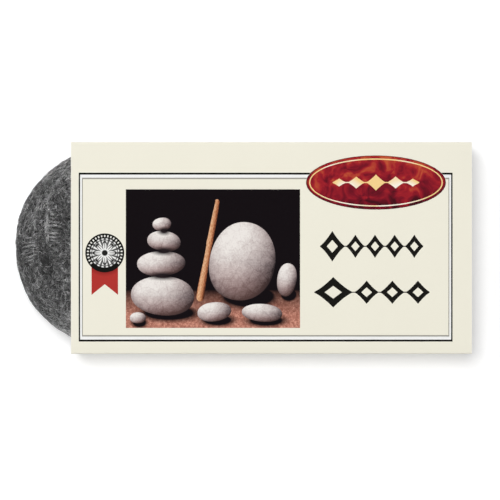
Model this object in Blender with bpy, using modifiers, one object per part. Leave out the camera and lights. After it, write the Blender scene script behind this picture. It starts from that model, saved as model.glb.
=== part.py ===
"""A pad of steel wool in a printed card sleeve, lying on the sleeve's back panel.

The wool is one long ribbon wound up flat, so that it is a solid with round ends, nearly as high as the inside of
the sleeve. It is pushed part of the way out of the sleeve's left end. The sleeve is one strip of card, folded at four
corners and glued to itself on a flap inside the back panel. Its front panel is printed with fields of colour.

Metres, +Z up. +X runs along the sleeve to its right end, and +Y runs to the top of the print. The origin
is the middle of the back panel, on the surface that the sleeve lies on.
"""

import math

import bmesh
import bpy
from mathutils import Euler

# The card sleeve
SLEEVE_LENGTH = 0.200
SLEEVE_HEIGHT = 0.1057
SLEEVE_DEPTH = 0.040
CARD = 0.0005
FOLD_RADIUS = 0.0015
GLUE_FLAP = 0.012
CLEARANCE = 0.0003

# The steel wool pad
WOOL_LENGTH = 0.200
WOOL_SHOWING = 0.0288
WOOL_ROOM_ABOVE = 0.00055
WOOL_ROOM_BELOW = 0.00175
WOOL_EDGE_RADIUS = 0.010
TURN_WIDTH = 0.0122
OUTER_TURN_WIDTH = 0.0103
GROOVE_RADIUS = 0.0022
GROOVE_DEPTH = 0.0014
CORE_RADIUS = 0.004

# The ink, drawn as thin plates over the front panel
INK = 0.0001

# The ruled frame: a black line, a white band inside it and a grey hairline inside that
FRAME_LEFT_MARGIN = 0.0039
FRAME_RIGHT_MARGIN = 0.0097
FRAME_TOP_MARGIN = 0.0153
FRAME_BOTTOM_MARGIN = 0.0062
FRAME_LINE = 0.0007
FRAME_BAND_UPRIGHT = 0.0003
FRAME_BAND_LEVEL = 0.0012
FRAME_HAIRLINE = 0.0003

# The award seal on its ribbon, in the column left of the picture
SEAL_RADIUS = 0.0094
SEAL_RING = 0.0024
SEAL_FROM_TOP = 0.0553
SEAL_FROM_FRAME = 0.0017
SEAL_TO_PICTURE = 0.0011
RIBBON_WIDTH = 0.0128
RIBBON_DROP = 0.0115
RIBBON_NOTCH = 0.0053
RIBBON_SPLAY = 0.0002

# The picture: pebbles and a stick on a rust-coloured ground, against the dark
PICTURE_TOP_MARGIN = 0.0055
PICTURE_BOTTOM_MARGIN = 0.0040
PICTURE_TO_PLAQUE = 0.0030
GROUND_HEIGHT = 0.0120
# Each pebble's middle, width and height as shares of the picture, and its tilt in degrees
PEBBLES = (
    (0.668, 0.478, 0.369, 0.580, -10),
    (0.213, 0.232, 0.357, 0.275, -3),
    (0.202, 0.464, 0.276, 0.159, 4),
    (0.219, 0.626, 0.196, 0.130, -6),
    (0.207, 0.748, 0.109, 0.087, 5),
    (0.507, 0.116, 0.196, 0.138, 5),
    (0.783, 0.109, 0.230, 0.130, -5),
    (0.924, 0.348, 0.109, 0.246, -8),
    (0.069, 0.073, 0.092, 0.080, 3),
)
# The middles of the stick's two ends, as shares of the picture too
STICK_FOOT_SHARES = (0.426, 0.217)
STICK_HEAD_SHARES = (0.524, 0.913)
STICK_FOOT_WIDTH = 0.0036
STICK_HEAD_WIDTH = 0.0022

# The oval plaque, over the frame's top line
PLAQUE_WIDTH = 0.0697
PLAQUE_HEIGHT = 0.0270
PLAQUE_FROM_FRAME = 0.00335
PLAQUE_FROM_TOP = 0.0202
PLAQUE_LINE = 0.0006
PLAQUE_LINE_INSET = 0.0015
# Each ornament is a row of lozenges strung on a thin rule, given by its lozenges' widths and heights
PLAQUE_ORNAMENT = ((0.0080, 0.0040), (0.0092, 0.0060), (0.0104, 0.0080), (0.0092, 0.0060), (0.0080, 0.0040))
ROW_1 = ((0.0132, 0.0152), (0.0098, 0.0116), (0.0098, 0.0116), (0.0098, 0.0116), (0.0098, 0.0116))
ROW_2 = ((0.0205, 0.0152), (0.0128, 0.0116), (0.0128, 0.0116), (0.0128, 0.0116))
ROW_GAP = 0.0107
ROW_PITCH = 0.0229
ROW_SHIFT = -0.0022
ROW_RULE = 0.0005
LOZENGE_WAIST = 1.35

ARC_STEPS = 24
FOLD_STEPS = 5
OVAL_STEPS = 40
LOZENGE_STEPS = 3

# Worked out from the sizes above
SLEEVE_LEFT = -SLEEVE_LENGTH / 2
SLEEVE_RIGHT = SLEEVE_LENGTH / 2
SLEEVE_TOP = SLEEVE_HEIGHT / 2
SLEEVE_BOTTOM = -SLEEVE_HEIGHT / 2
WOOL_FLOOR = 2 * CARD + CLEARANCE
WOOL_DEPTH = SLEEVE_DEPTH - CARD - CLEARANCE - WOOL_FLOOR
WOOL_WIDTH = SLEEVE_HEIGHT - 2 * CARD - WOOL_ROOM_ABOVE - WOOL_ROOM_BELOW
WOOL_MIDDLE_X = SLEEVE_LEFT - WOOL_SHOWING + WOOL_LENGTH / 2
WOOL_MIDDLE_Y = SLEEVE_TOP - CARD - WOOL_ROOM_ABOVE - WOOL_WIDTH / 2
PRINT_Z = SLEEVE_DEPTH + CLEARANCE
OVERPRINT_Z = PRINT_Z + INK + CLEARANCE
FRAME_LEFT = SLEEVE_LEFT + FRAME_LEFT_MARGIN
FRAME_RIGHT = SLEEVE_RIGHT - FRAME_RIGHT_MARGIN
FRAME_TOP = SLEEVE_TOP - FRAME_TOP_MARGIN
FRAME_BOTTOM = SLEEVE_BOTTOM + FRAME_BOTTOM_MARGIN
FRAME_UPRIGHT = FRAME_LINE + CLEARANCE + FRAME_BAND_UPRIGHT + CLEARANCE + FRAME_HAIRLINE
FRAME_LEVEL = FRAME_LINE + CLEARANCE + FRAME_BAND_LEVEL + CLEARANCE + FRAME_HAIRLINE
PLAQUE_X = FRAME_RIGHT - PLAQUE_FROM_FRAME - PLAQUE_WIDTH / 2
PLAQUE_Y = SLEEVE_TOP - PLAQUE_FROM_TOP
SEAL_X = FRAME_LEFT + FRAME_UPRIGHT + SEAL_FROM_FRAME + SEAL_RADIUS
SEAL_Y = SLEEVE_TOP - SEAL_FROM_TOP
PICTURE_LEFT = SEAL_X + SEAL_RADIUS + SEAL_TO_PICTURE
PICTURE_RIGHT = PLAQUE_X - PLAQUE_WIDTH / 2 - PICTURE_TO_PLAQUE
PICTURE_TOP = FRAME_TOP - FRAME_LEVEL - PICTURE_TOP_MARGIN
PICTURE_BOTTOM = FRAME_BOTTOM + FRAME_LEVEL + PICTURE_BOTTOM_MARGIN


def empty_scene():
    for obj in list(bpy.data.objects):
        bpy.data.objects.remove(obj, do_unlink=True)


def new_collection(name):
    collection = bpy.data.collections.new(name)
    bpy.context.scene.collection.children.link(collection)
    return collection


def material(name, colour, roughness, metallic=0.0):
    made = bpy.data.materials.new(name)
    made.use_nodes = True
    shader = made.node_tree.nodes["Principled BSDF"]
    shader.inputs["Base Color"].default_value = (*colour, 1)
    shader.inputs["Roughness"].default_value = roughness
    shader.inputs["Metallic"].default_value = metallic
    return made


def arc(centre, radius, start, end, steps):
    """Points from the angle start to the angle end, in degrees, both ends included."""
    angles = [math.radians(start + (end - start) * i / steps) for i in range(steps + 1)]
    return [(centre[0] + radius * math.cos(a), centre[1] + radius * math.sin(a)) for a in angles]


def rectangle(left, bottom, right, top):
    return [(left, bottom), (right, bottom), (right, top), (left, top)]


def oval(centre, width, height, tilt=0.0, steps=OVAL_STEPS):
    turn = math.radians(tilt)
    points = []
    for i in range(steps):
        angle = 2 * math.pi * i / steps
        x = width / 2 * math.cos(angle)
        y = height / 2 * math.sin(angle)
        points.append(
            (
                centre[0] + x * math.cos(turn) - y * math.sin(turn),
                centre[1] + x * math.sin(turn) + y * math.cos(turn),
            )
        )
    return points


def outline_object(name, loops, depth):
    """A flat outline with its holes, as thick as depth, centred on its own origin. Holes follow the outer loop."""
    curve = bpy.data.curves.new(name, "CURVE")
    curve.dimensions = "2D"
    curve.fill_mode = "BOTH"
    curve.extrude = depth / 2
    for loop in loops:
        spline = curve.splines.new("POLY")
        spline.points.add(len(loop) - 1)
        for point, (x, y) in zip(spline.points, loop):
            point.co = (x, y, 0, 1)
        spline.use_cyclic_u = True
    return bpy.data.objects.new(name, curve)


def as_mesh(obj, collection):
    """The curve object as a mesh object whose caps are welded to its sides. The curve is removed."""
    bpy.context.scene.collection.objects.link(obj)
    bpy.context.view_layer.update()
    evaluated = obj.evaluated_get(bpy.context.evaluated_depsgraph_get())
    mesh = bpy.data.meshes.new_from_object(evaluated)
    made = bpy.data.objects.new(obj.name + "_solid", mesh)
    made.matrix_world = obj.matrix_world.copy()
    name = obj.name
    bpy.data.objects.remove(obj, do_unlink=True)
    made.name = name
    welded = bmesh.new()
    welded.from_mesh(mesh)
    bmesh.ops.remove_doubles(welded, verts=welded.verts, dist=CLEARANCE / 30)
    bmesh.ops.recalc_face_normals(welded, faces=welded.faces)
    welded.to_mesh(mesh)
    welded.free()
    collection.objects.link(made)
    return made


def card_outline():
    """The sleeve's section across its length, as an outer and an inner loop, with Y across and Z up."""
    outside = FOLD_RADIUS
    inside = FOLD_RADIUS - CARD
    left, right = SLEEVE_BOTTOM, SLEEVE_TOP
    top = SLEEVE_DEPTH
    flap_end = right - GLUE_FLAP
    outer = [(right - outside, 0)]
    outer += arc((left + outside, outside), outside, 270, 180, FOLD_STEPS)
    outer += arc((left + outside, top - outside), outside, 180, 90, FOLD_STEPS)
    outer += arc((right - outside, top - outside), outside, 90, 0, FOLD_STEPS)
    outer += arc((right - outside, CARD + outside), outside, 0, -90, FOLD_STEPS)
    inner = [(flap_end, CARD), (flap_end, 2 * CARD)]
    inner += arc((right - outside, CARD + outside), inside, 270, 360, FOLD_STEPS)
    inner += arc((right - outside, top - outside), inside, 0, 90, FOLD_STEPS)
    inner += arc((left + outside, top - outside), inside, 90, 180, FOLD_STEPS)
    inner += arc((left + outside, outside), inside, 180, 270, FOLD_STEPS)
    return outer, inner


def card_sleeve(collection, paint):
    sleeve = outline_object("card_sleeve", card_outline(), SLEEVE_LENGTH)
    # The outline's X, Y and thickness lie along the sleeve's Y, Z and X.
    sleeve.rotation_euler = Euler((math.pi / 2, 0, math.pi / 2))
    sleeve.data.materials.append(paint)
    collection.objects.link(sleeve)


def stadium(length, width):
    """A flat shape with straight sides and half-round ends, centred on the origin."""
    radius = width / 2
    reach = length / 2 - radius
    return arc((reach, 0), radius, -90, 90, ARC_STEPS) + arc((-reach, 0), radius, 90, 270, ARC_STEPS)


def winding_path():
    """The line between the wool's turns: half circles about the pad's two ends, each smaller than the last."""
    reach = (WOOL_LENGTH - WOOL_WIDTH) / 2
    radius = WOOL_WIDTH / 2 - OUTER_TURN_WIDTH
    steps = ARC_STEPS // 2
    points = []
    left = True
    while radius - TURN_WIDTH / 2 > CORE_RADIUS:
        start = 90 if left else 270
        for i in range(steps):
            angle = math.radians(start + 180 * i / steps)
            here = radius - TURN_WIDTH / 2 * i / steps
            middle = -reach if left else reach
            points.append((middle + here * math.cos(angle), here * math.sin(angle)))
        radius -= TURN_WIDTH / 2
        left = not left
    return points


def groove_cutter(name, z, collection):
    """A tube along the line between the turns, which cuts a shallow groove into a face of the pad."""
    path = winding_path()
    curve = bpy.data.curves.new(name, "CURVE")
    curve.dimensions = "3D"
    curve.bevel_depth = GROOVE_RADIUS
    curve.bevel_resolution = 2
    curve.use_fill_caps = True
    spline = curve.splines.new("POLY")
    spline.points.add(len(path) - 1)
    for point, (x, y) in zip(spline.points, path):
        point.co = (x, y, 0, 1)
    guide = bpy.data.objects.new(name, curve)
    guide.location = (WOOL_MIDDLE_X, WOOL_MIDDLE_Y, z)
    cutter = as_mesh(guide, collection)
    cutter.hide_render = True
    cutter.display_type = "WIRE"
    return cutter


def steel_wool_pad(collection, cutters, paint):
    """The wound pad: a stadium with round edges, and the line between its turns on both faces."""
    mesh = bpy.data.meshes.new("steel_wool_pad")
    solid = bmesh.new()
    floor = solid.faces.new([solid.verts.new((x, y, WOOL_FLOOR)) for x, y in stadium(WOOL_LENGTH, WOOL_WIDTH)])
    raised = bmesh.ops.extrude_face_region(solid, geom=[floor])
    corners = [item for item in raised["geom"] if isinstance(item, bmesh.types.BMVert)]
    bmesh.ops.translate(solid, verts=corners, vec=(0, 0, WOOL_DEPTH))
    bmesh.ops.translate(solid, verts=solid.verts, vec=(WOOL_MIDDLE_X, WOOL_MIDDLE_Y, 0))
    bmesh.ops.recalc_face_normals(solid, faces=solid.faces)
    solid.to_mesh(mesh)
    solid.free()
    pad = bpy.data.objects.new("steel_wool_pad", mesh)
    collection.objects.link(pad)
    mesh.materials.append(paint)
    edge = pad.modifiers.new("round_edges", "BEVEL")
    edge.limit_method = "ANGLE"
    edge.angle_limit = math.radians(60)
    edge.width = WOOL_EDGE_RADIUS
    edge.segments = 6
    lift = GROOVE_RADIUS - GROOVE_DEPTH
    top = WOOL_FLOOR + WOOL_DEPTH
    for side, z in (("front", top + lift), ("back", WOOL_FLOOR - lift)):
        cut = pad.modifiers.new("turns_" + side, "BOOLEAN")
        cut.operation = "DIFFERENCE"
        cut.object = groove_cutter("turns_cutter_" + side, z, cutters)
    return pad


def ink(name, loops, collection, paint, over=False):
    """A printed field of one colour on the front panel, or over another field."""
    field = outline_object(name, loops, INK)
    field.location.z = (OVERPRINT_Z if over else PRINT_Z) + INK / 2
    field.data.materials.append(paint)
    collection.objects.link(field)
    return field


def around_plaque(left_x, right_x, top_y, bottom_y, upright, level):
    """A ruled rectangle, broken where the plaque covers its top line, as one open strip. upright and level are
    the thickness of its upright and its level lines."""
    reach_y = PLAQUE_HEIGHT / 2 + CLEARANCE
    reach_x = PLAQUE_WIDTH / 2 + CLEARANCE

    def plaque_edge(y):
        return reach_x * math.sqrt(max(0.0, 1 - ((y - PLAQUE_Y) / reach_y) ** 2))

    break_at = max(plaque_edge(top_y), plaque_edge(top_y - level))
    return [
        (PLAQUE_X - break_at, top_y),
        (left_x, top_y),
        (left_x, bottom_y),
        (right_x, bottom_y),
        (right_x, top_y),
        (PLAQUE_X + break_at, top_y),
        (PLAQUE_X + break_at, top_y - level),
        (right_x - upright, top_y - level),
        (right_x - upright, bottom_y + level),
        (left_x + upright, bottom_y + level),
        (left_x + upright, top_y - level),
        (PLAQUE_X - break_at, top_y - level),
    ]


def ruled_frame(collection, paints):
    inset_x = inset_y = 0.0
    for name, upright, level, paint in (
        ("print_frame_line", FRAME_LINE, FRAME_LINE, "ink_black"),
        ("print_frame_band", FRAME_BAND_UPRIGHT, FRAME_BAND_LEVEL, "ink_white"),
        ("print_frame_hairline", FRAME_HAIRLINE, FRAME_HAIRLINE, "ink_grey"),
    ):
        strip = around_plaque(
            FRAME_LEFT + inset_x,
            FRAME_RIGHT - inset_x,
            FRAME_TOP - inset_y,
            FRAME_BOTTOM + inset_y,
            upright,
            level,
        )
        ink(name, [strip], collection, paints[paint])
        inset_x += upright + CLEARANCE
        inset_y += level + CLEARANCE


def seal(collection, paints):
    """A dark ring around a pale disc, over a swallow-tailed ribbon."""
    middle = (SEAL_X, SEAL_Y)
    hole = SEAL_RADIUS - SEAL_RING
    ring = [oval(middle, 2 * SEAL_RADIUS, 2 * SEAL_RADIUS), oval(middle, 2 * hole, 2 * hole)]
    ink("print_seal_ring", ring, collection, paints["ink_black"])
    disc = 2 * (hole - CLEARANCE)
    ink("print_seal_disc", [oval(middle, disc, disc)], collection, paints["ink_silver"])
    # The ribbon's top edge follows the ring, one clearance away from it.
    half = RIBBON_WIDTH / 2
    reach = SEAL_RADIUS + CLEARANCE
    side = math.degrees(math.acos(half / reach))
    top = arc(middle, reach, -side, -180 + side, 12)
    foot = SEAL_Y - SEAL_RADIUS - RIBBON_DROP
    tails = [
        (SEAL_X - half - RIBBON_SPLAY, foot),
        (SEAL_X, foot + RIBBON_NOTCH),
        (SEAL_X + half + RIBBON_SPLAY, foot),
    ]
    ink("print_seal_ribbon", [top + tails], collection, paints["ink_red"])


def on_picture(share_x, share_y):
    """A point of the picture, from its shares of the picture's width and height."""
    return (
        PICTURE_LEFT + share_x * (PICTURE_RIGHT - PICTURE_LEFT),
        PICTURE_BOTTOM + share_y * (PICTURE_TOP - PICTURE_BOTTOM),
    )


def picture(collection, paints):
    """A still life of plain pebbles, with the dark field above the ground and the motifs printed over both."""
    horizon = PICTURE_BOTTOM + GROUND_HEIGHT
    dark = rectangle(PICTURE_LEFT, horizon + CLEARANCE, PICTURE_RIGHT, PICTURE_TOP)
    ink("print_picture_dark", [dark], collection, paints["ink_night"])
    ground = rectangle(PICTURE_LEFT, PICTURE_BOTTOM, PICTURE_RIGHT, horizon)
    ink("print_picture_ground", [ground], collection, paints["ink_rust"])
    width = PICTURE_RIGHT - PICTURE_LEFT
    height = PICTURE_TOP - PICTURE_BOTTOM
    for number, (x, y, wide, high, tilt) in enumerate(PEBBLES, start=1):
        shape = oval(on_picture(x, y), wide * width, high * height, tilt, steps=28)
        ink(f"print_pebble_{number}", [shape], collection, paints["ink_stone"], over=True)
    foot, head = on_picture(*STICK_FOOT_SHARES), on_picture(*STICK_HEAD_SHARES)
    lean = math.degrees(math.atan2(head[1] - foot[1], head[0] - foot[0]))
    stick = arc(head, STICK_HEAD_WIDTH / 2, lean - 90, lean + 90, 6)
    stick += arc(foot, STICK_FOOT_WIDTH / 2, lean + 90, lean + 270, 6)
    ink("print_stick", [stick], collection, paints["ink_wood"], over=True)


def strung_lozenges(left, middle_y, sizes):
    """Lozenges with hollowed sides, side by side on one rule, as a single outline."""
    upper = []
    for width, height in sizes:
        middle = left + width / 2
        # A lozenge's side starts where it is as high as the rule.
        reach = 1 - (ROW_RULE / height) ** (1 / LOZENGE_WAIST)
        for i in range(-LOZENGE_STEPS, LOZENGE_STEPS + 1):
            share = reach * i / LOZENGE_STEPS
            upper.append((middle + share * width / 2, height / 2 * (1 - abs(share)) ** LOZENGE_WAIST))
        left += width
    lower = [(x, -y) for x, y in reversed(upper)]
    return [(x, middle_y + y) for x, y in upper + lower]


def total_width(sizes):
    return sum(width for width, _ in sizes)


def plaque(collection, paints):
    middle = (PLAQUE_X, PLAQUE_Y)
    ink("print_plaque", [oval(middle, PLAQUE_WIDTH, PLAQUE_HEIGHT)], collection, paints["ink_maroon"])
    width = PLAQUE_WIDTH - 2 * PLAQUE_LINE_INSET
    height = PLAQUE_HEIGHT - 2 * PLAQUE_LINE_INSET
    line = [
        oval(middle, width, height),
        oval(middle, width - 2 * PLAQUE_LINE, height - 2 * PLAQUE_LINE),
    ]
    ink("print_plaque_line", line, collection, paints["ink_cream"], over=True)
    left = PLAQUE_X - total_width(PLAQUE_ORNAMENT) / 2
    shape = strung_lozenges(left, PLAQUE_Y, PLAQUE_ORNAMENT)
    ink("print_plaque_ornament", [shape], collection, paints["ink_cream"], over=True)


def lozenge_rows(collection, paints):
    middle_x = PLAQUE_X + ROW_SHIFT
    middle_y = PLAQUE_Y - PLAQUE_HEIGHT / 2 - ROW_GAP - ROW_1[0][1] / 2
    for number, sizes in enumerate((ROW_1, ROW_2), start=1):
        shape = strung_lozenges(middle_x - total_width(sizes) / 2, middle_y, sizes)
        ink(f"print_title_row_{number}", [shape], collection, paints["ink_black"])
        middle_y -= ROW_PITCH


def main():
    empty_scene()
    pack = new_collection("steel_wool_pack")
    cutters = new_collection("cutters")
    paints = {
        "steel_wool": material("steel_wool", (0.10, 0.10, 0.10), 0.55, 0.85),
        "cream_card": material("cream_card", (0.86, 0.83, 0.70), 0.55),
        "ink_black": material("ink_black", (0.015, 0.014, 0.012), 0.5),
        "ink_white": material("ink_white", (0.90, 0.90, 0.88), 0.5),
        "ink_grey": material("ink_grey", (0.32, 0.32, 0.29), 0.5),
        "ink_silver": material("ink_silver", (0.45, 0.45, 0.44), 0.5),
        "ink_red": material("ink_red", (0.42, 0.03, 0.025), 0.5),
        "ink_maroon": material("ink_maroon", (0.28, 0.02, 0.02), 0.45),
        "ink_cream": material("ink_cream", (0.85, 0.70, 0.40), 0.5),
        "ink_night": material("ink_night", (0.008, 0.006, 0.007), 0.45),
        "ink_rust": material("ink_rust", (0.27, 0.09, 0.06), 0.5),
        "ink_stone": material("ink_stone", (0.45, 0.40, 0.39), 0.5),
        "ink_wood": material("ink_wood", (0.50, 0.24, 0.12), 0.5),
    }
    card_sleeve(pack, paints["cream_card"])
    steel_wool_pad(pack, cutters, paints["steel_wool"])
    ruled_frame(pack, paints)
    seal(pack, paints)
    picture(pack, paints)
    plaque(pack, paints)
    lozenge_rows(pack, paints)


main()
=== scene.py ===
# %% [markdown]
# # A pad of steel wool in its card sleeve
#
# A pad of steel wool is one long ribbon of fine steel fibre, wound up flat. It is sold in a sleeve of thin card
# that is open at both ends, and here the pad has slid part of the way out of the left end.
#
# Each cell below makes one piece or one finish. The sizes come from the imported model, so that every piece lands
# where the solids are.

import math

import bpy
import numpy as np
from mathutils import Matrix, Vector, noise


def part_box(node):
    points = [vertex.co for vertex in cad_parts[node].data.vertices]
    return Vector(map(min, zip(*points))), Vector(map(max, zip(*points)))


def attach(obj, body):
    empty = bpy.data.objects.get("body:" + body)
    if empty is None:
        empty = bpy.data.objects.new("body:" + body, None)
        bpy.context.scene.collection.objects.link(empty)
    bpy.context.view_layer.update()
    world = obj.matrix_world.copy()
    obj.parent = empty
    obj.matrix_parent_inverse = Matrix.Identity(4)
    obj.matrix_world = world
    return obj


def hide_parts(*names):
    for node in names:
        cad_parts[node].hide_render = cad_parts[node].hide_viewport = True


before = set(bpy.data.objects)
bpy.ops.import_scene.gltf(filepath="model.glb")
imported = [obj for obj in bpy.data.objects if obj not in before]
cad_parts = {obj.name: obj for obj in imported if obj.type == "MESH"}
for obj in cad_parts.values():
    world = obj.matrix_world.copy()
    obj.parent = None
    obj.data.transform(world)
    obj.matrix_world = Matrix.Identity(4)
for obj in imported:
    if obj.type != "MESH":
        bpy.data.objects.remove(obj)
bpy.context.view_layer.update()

# %% [markdown]
# The sleeve and the wool are measured from their solids' boxes. Two sizes can't be read from a box, the card's
# thickness and the glue flap's width, and they are written here as the model has them. The folds are creased, so
# they are tighter here than in the solid, and the front panel stays bright almost to its long edges.


# %% Measure the solids
def corners(node):
    """The low and the high corner of a solid's box."""
    return [Vector(corner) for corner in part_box(node)]


sleeve_low, sleeve_high = corners("card_sleeve")
wool_low, wool_high = corners("steel_wool_pad")
sleeve_length, sleeve_height, sleeve_depth = sleeve_high - sleeve_low
card_thickness = 0.0005
fold_radius = 0.0007
flap_width = 0.012
wool_radius = (wool_high.y - wool_low.y) / 2
wool_middle_y = (wool_high.y + wool_low.y) / 2
print("sleeve", [round(1000 * v, 2) for v in (sleeve_length, sleeve_height, sleeve_depth)], "mm")
print("wool sticks out by", round(1000 * (sleeve_low.x - wool_low.x), 2), "mm")

# %% [markdown]
# Operators act on whatever is selected, and loading the model leaves its solids selected. These helpers are used all
# through the lesson. The first leaves one piece selected, and the next two open it for editing, with all of it picked
# or only the edges whose place passes a test. The others put things into the scene, make a curve a mesh, apply a
# piece's modifiers and count its triangles.


# %% Helpers for pieces
def only(piece):
    """Select one piece in object mode, and nothing else."""
    if bpy.context.object and bpy.context.object.mode != "OBJECT":
        bpy.ops.object.mode_set(mode="OBJECT")
    bpy.ops.object.select_all(action="DESELECT")
    if piece is not None:
        piece.select_set(True)
        bpy.context.view_layer.objects.active = piece


def edit_all(piece):
    """Go to edit mode with all of a piece selected."""
    only(piece)
    bpy.ops.object.mode_set(mode="EDIT")
    bpy.ops.mesh.select_all(action="SELECT")


def pick_edges(piece, wanted):
    """In edit mode, select the edges whose two ends pass the test."""
    only(piece)
    bpy.ops.object.mode_set(mode="EDIT")
    bpy.ops.mesh.select_mode(type="EDGE")
    bpy.ops.mesh.select_all(action="DESELECT")
    bpy.ops.object.mode_set(mode="OBJECT")
    vertices = piece.data.vertices
    for line in piece.data.edges:
        line.select = wanted(*(vertices[i].co for i in line.vertices))
    bpy.ops.object.mode_set(mode="EDIT")


def put_in_scene(name, data):
    made = bpy.data.objects.new(name, data)
    bpy.context.scene.collection.objects.link(made)
    return made


def to_mesh(name, curve):
    """Put a curve into the scene and convert it to a mesh piece."""
    only(put_in_scene(name, curve))
    bpy.ops.object.convert(target="MESH")
    return bpy.context.object


def apply_modifiers(piece):
    only(piece)
    for modifier in list(piece.modifiers):
        bpy.ops.object.modifier_apply(modifier=modifier.name)


def triangles(piece):
    return sum(len(face.vertices) - 2 for face in piece.data.polygons)


# %% [markdown]
# ## Shader helpers
#
# Materials are built from nodes. Writing each node and link by hand makes long cells, so small helpers do the
# typing. The first ones feed a node's inputs, add a node, and start a material or a group.


# %% Helpers for nodes
def fill(node, inputs):
    """Feed inputs of a node, each by its name or number, with a plain value or the output of another node."""
    for name, value in inputs.items():
        socket = node.inputs[name]
        value = value.output if isinstance(value, Value) else value
        if isinstance(value, bpy.types.NodeSocket):
            node.id_data.links.new(value, socket)
        elif socket.type == "RGBA" and len(value) == 3:
            socket.default_value = (*value, 1)
        else:
            socket.default_value = value


def add(tree, kind, inputs, **settings):
    made = tree.nodes.new(kind)
    for name, value in settings.items():
        setattr(made, name, value)
    fill(made, inputs)
    return made


def new_material(name):
    """A material with an empty tree but for its Principled BSDF. Returns the material, its tree and that shader."""
    material = bpy.data.materials.new(name)
    material.use_nodes = True
    tree = material.node_tree
    return material, tree, tree.nodes["Principled BSDF"]


def new_group(name, inputs, outputs):
    """A shader node group, from lists of its sockets. Returns it, the values it is given and its output node."""
    group = bpy.data.node_groups.new(name, "ShaderNodeTree")
    for label, kind, *value in inputs:
        socket = group.interface.new_socket(label, in_out="INPUT", socket_type="NodeSocket" + kind)
        if value:
            socket.default_value = value[0]
    for label, kind in outputs:
        group.interface.new_socket(label, in_out="OUTPUT", socket_type="NodeSocket" + kind)
    given = group.nodes.new("NodeGroupInput").outputs
    return group, [Value(given[label]) for label, *_ in inputs], group.nodes.new("NodeGroupOutput")


def place_group(tree, group, inputs):
    """Use a group in a tree. Returns its outputs by name."""
    return {output.name: Value(output) for output in add(tree, "ShaderNodeGroup", inputs, node_tree=group).outputs}


# %% [markdown]
# Sums in a shader are Math nodes. A small class lets them be written as plain arithmetic: a Value stands for a
# number in the tree, and each sum with it adds the Math node that works it out.


# %% Arithmetic with nodes
class Value:
    def __init__(self, output):
        self.output = output

    def math(self, operation, first, second=0.0):
        made = add(self.output.id_data, "ShaderNodeMath", {0: first, 1: second}, operation=operation)
        return Value(made.outputs[0])

    def __add__(self, other):
        return self.math("ADD", self, other)

    def __sub__(self, other):
        return self.math("SUBTRACT", self, other)

    def __rsub__(self, other):
        return self.math("SUBTRACT", other, self)

    def __mul__(self, other):
        return self.math("MULTIPLY", self, other)

    def __truediv__(self, other):
        return self.math("DIVIDE", self, other)

    def __abs__(self):
        return self.math("ABSOLUTE", self)

    def larger(self, other):
        return self.math("MAXIMUM", self, other)

    def clamped(self):
        """The same number, kept between 0 and 1 by the Math node that works it out."""
        self.output.node.use_clamp = True
        return self


# %% [markdown]
# Most materials here are made of the same few parts: the place that is shaded, its three coordinates, noise, a mix
# of two colours, a colour ramp, a step and a bump.


# %% Helpers for textures and colours
def object_place(tree):
    return tree.nodes.new("ShaderNodeTexCoord").outputs["Object"]


def pattern_place(tree):
    """The place on the pattern map, which the inks with a pattern of their own have."""
    return add(tree, "ShaderNodeUVMap", {}, uv_map="pattern").outputs[0]


def split(tree, place):
    return [Value(output) for output in add(tree, "ShaderNodeSeparateXYZ", {0: place}).outputs]


def noise_at(tree, place, scale, detail, **more):
    inputs = {"Vector": place, "Scale": scale, "Detail": detail, **more}
    return Value(add(tree, "ShaderNodeTexNoise", inputs).outputs[0])


def mix_colours(tree, share, first, second, blend="MIX"):
    inputs = {0: share, 6: first, 7: second}
    return add(tree, "ShaderNodeMix", inputs, data_type="RGBA", blend_type=blend).outputs[2]


def ramp(tree, value, stops):
    """A colour ramp. stops is a list of position and linear colour."""
    made = add(tree, "ShaderNodeValToRGB", {0: value})
    band = made.color_ramp
    while len(band.elements) < len(stops):
        band.elements.new(0.5)
    for element, (position, colour) in zip(band.elements, stops):
        element.position = position
        element.color = (*colour, 1)
    return made.outputs[0]


def step_up(tree, value, start, end, interpolation="LINEAR"):
    """0 where a value is start, 1 where it is end, and between them a slope."""
    inputs = {"Value": value, "From Min": start, "From Max": end}
    return Value(add(tree, "ShaderNodeMapRange", inputs, interpolation_type=interpolation).outputs[0])


def bump(shader, height, strength, distance):
    inputs = {"Height": height, "Strength": strength, "Distance": distance}
    fill(shader, {"Normal": add(shader.id_data, "ShaderNodeBump", inputs).outputs[0]})


# %% [markdown]
# ## Camera
#
# The photograph looks straight at the printed front. The pack lies on its back, so the camera hangs over it and
# looks down. A long lens from 1.5 m away keeps the front panel a true rectangle and hides the sleeve's sides.

# %% Camera
metres_per_pixel = 0.2 / 401
picture_pixels = 500
camera_height = 1.5
sensor_width = 36
camera_data = bpy.data.cameras.new("camera")
camera = put_in_scene("camera", camera_data)
bpy.context.scene.camera = camera
camera.location = (-0.0107, -0.0010, sleeve_high.z + camera_height)
camera_data.sensor_width = sensor_width
camera_data.lens = sensor_width * camera_height / (picture_pixels * metres_per_pixel)
camera_data.clip_start = 0.05
camera_data.clip_end = 20
print("lens", round(camera_data.lens, 1), "mm")

# %% [markdown]
# ## Light
#
# The shadow in the photograph is short and soft, and falls to the right and below. So the main light is a large round
# lamp that hangs nearly overhead, a little to the upper left. A wide, weaker lamp from the upper left shapes the
# wool, and an even, pale world fills the rest.
#
# The white background is the floor's and the world's own colour as the camera sees it, so that the lamps can stay at
# a plain level. Only camera, glossy and transmission rays see that extra white, and the floor keeps its shadow. The
# room is white round its walls and dimmer overhead, as a studio is, so that dark ink doesn't look milky.


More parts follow.
